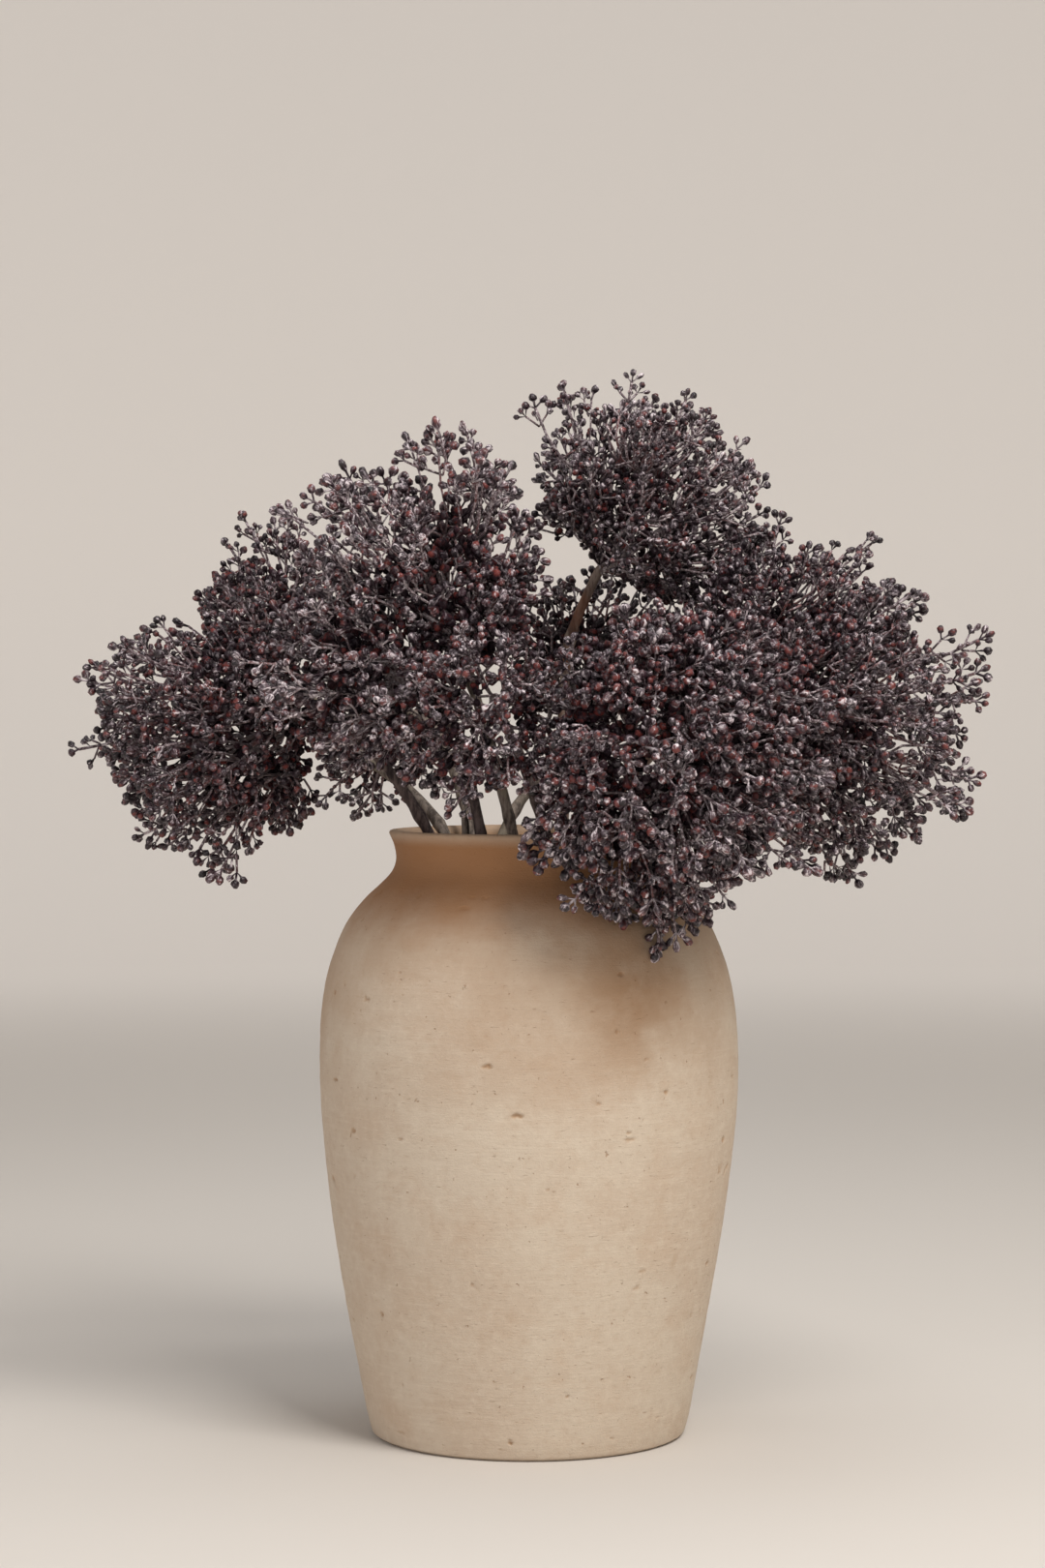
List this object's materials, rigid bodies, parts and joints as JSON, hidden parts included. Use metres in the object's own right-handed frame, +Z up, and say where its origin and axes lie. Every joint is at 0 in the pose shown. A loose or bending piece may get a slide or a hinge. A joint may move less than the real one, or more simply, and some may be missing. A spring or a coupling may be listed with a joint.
{
  "type": "vase of viburnum berry sprigs",
  "caption": "Dried viburnum berry sprigs, each a domed cluster of small dark berries on a woody stem, standing in a plain cream earthenware vase with a narrow neck.",
  "frame": {"origin": "centre of the vase's flat foot, on the surface it stands on", "axes": "+Z up along the vase's axis; -Y is the front, where two sprigs lean out over the lip; +X is to the right seen from the front"},
  "size_m": [0.4405, 0.3305, 0.5217],
  "materials": {
    "earthenware": "matte",
    "bark": "matte",
    "dried_berries": "satin"
  },
  "bodies": {
    "root": {"vase": "earthenware", "cut_twig": "bark", "sprig_left_stem": "bark", "sprig_left_berries": "dried_berries", "sprig_back_left_stem": "bark", "sprig_back_left_berries": "dried_berries", "sprig_low_back_left_stem": "bark", "sprig_low_back_left_berries": "dried_berries", "sprig_front_left_stem": "bark", "sprig_front_left_berries": "dried_berries", "sprig_top_centre_stem": "bark", "sprig_top_centre_berries": "dried_berries", "sprig_low_centre_stem": "bark", "sprig_low_centre_berries": "dried_berries", "sprig_top_right_stem": "bark", "sprig_top_right_berries": "dried_berries", "sprig_upper_right_stem": "bark", "sprig_upper_right_berries": "dried_berries", "sprig_right_stem": "bark", "sprig_right_berries": "dried_berries", "sprig_front_right_stem": "bark", "sprig_front_right_berries": "dried_berries", "sprig_back_centre_stem": "bark", "sprig_back_centre_berries": "dried_berries", "sprig_back_right_stem": "bark", "sprig_back_right_berries": "dried_berries"}
  },
  "joints": []
}
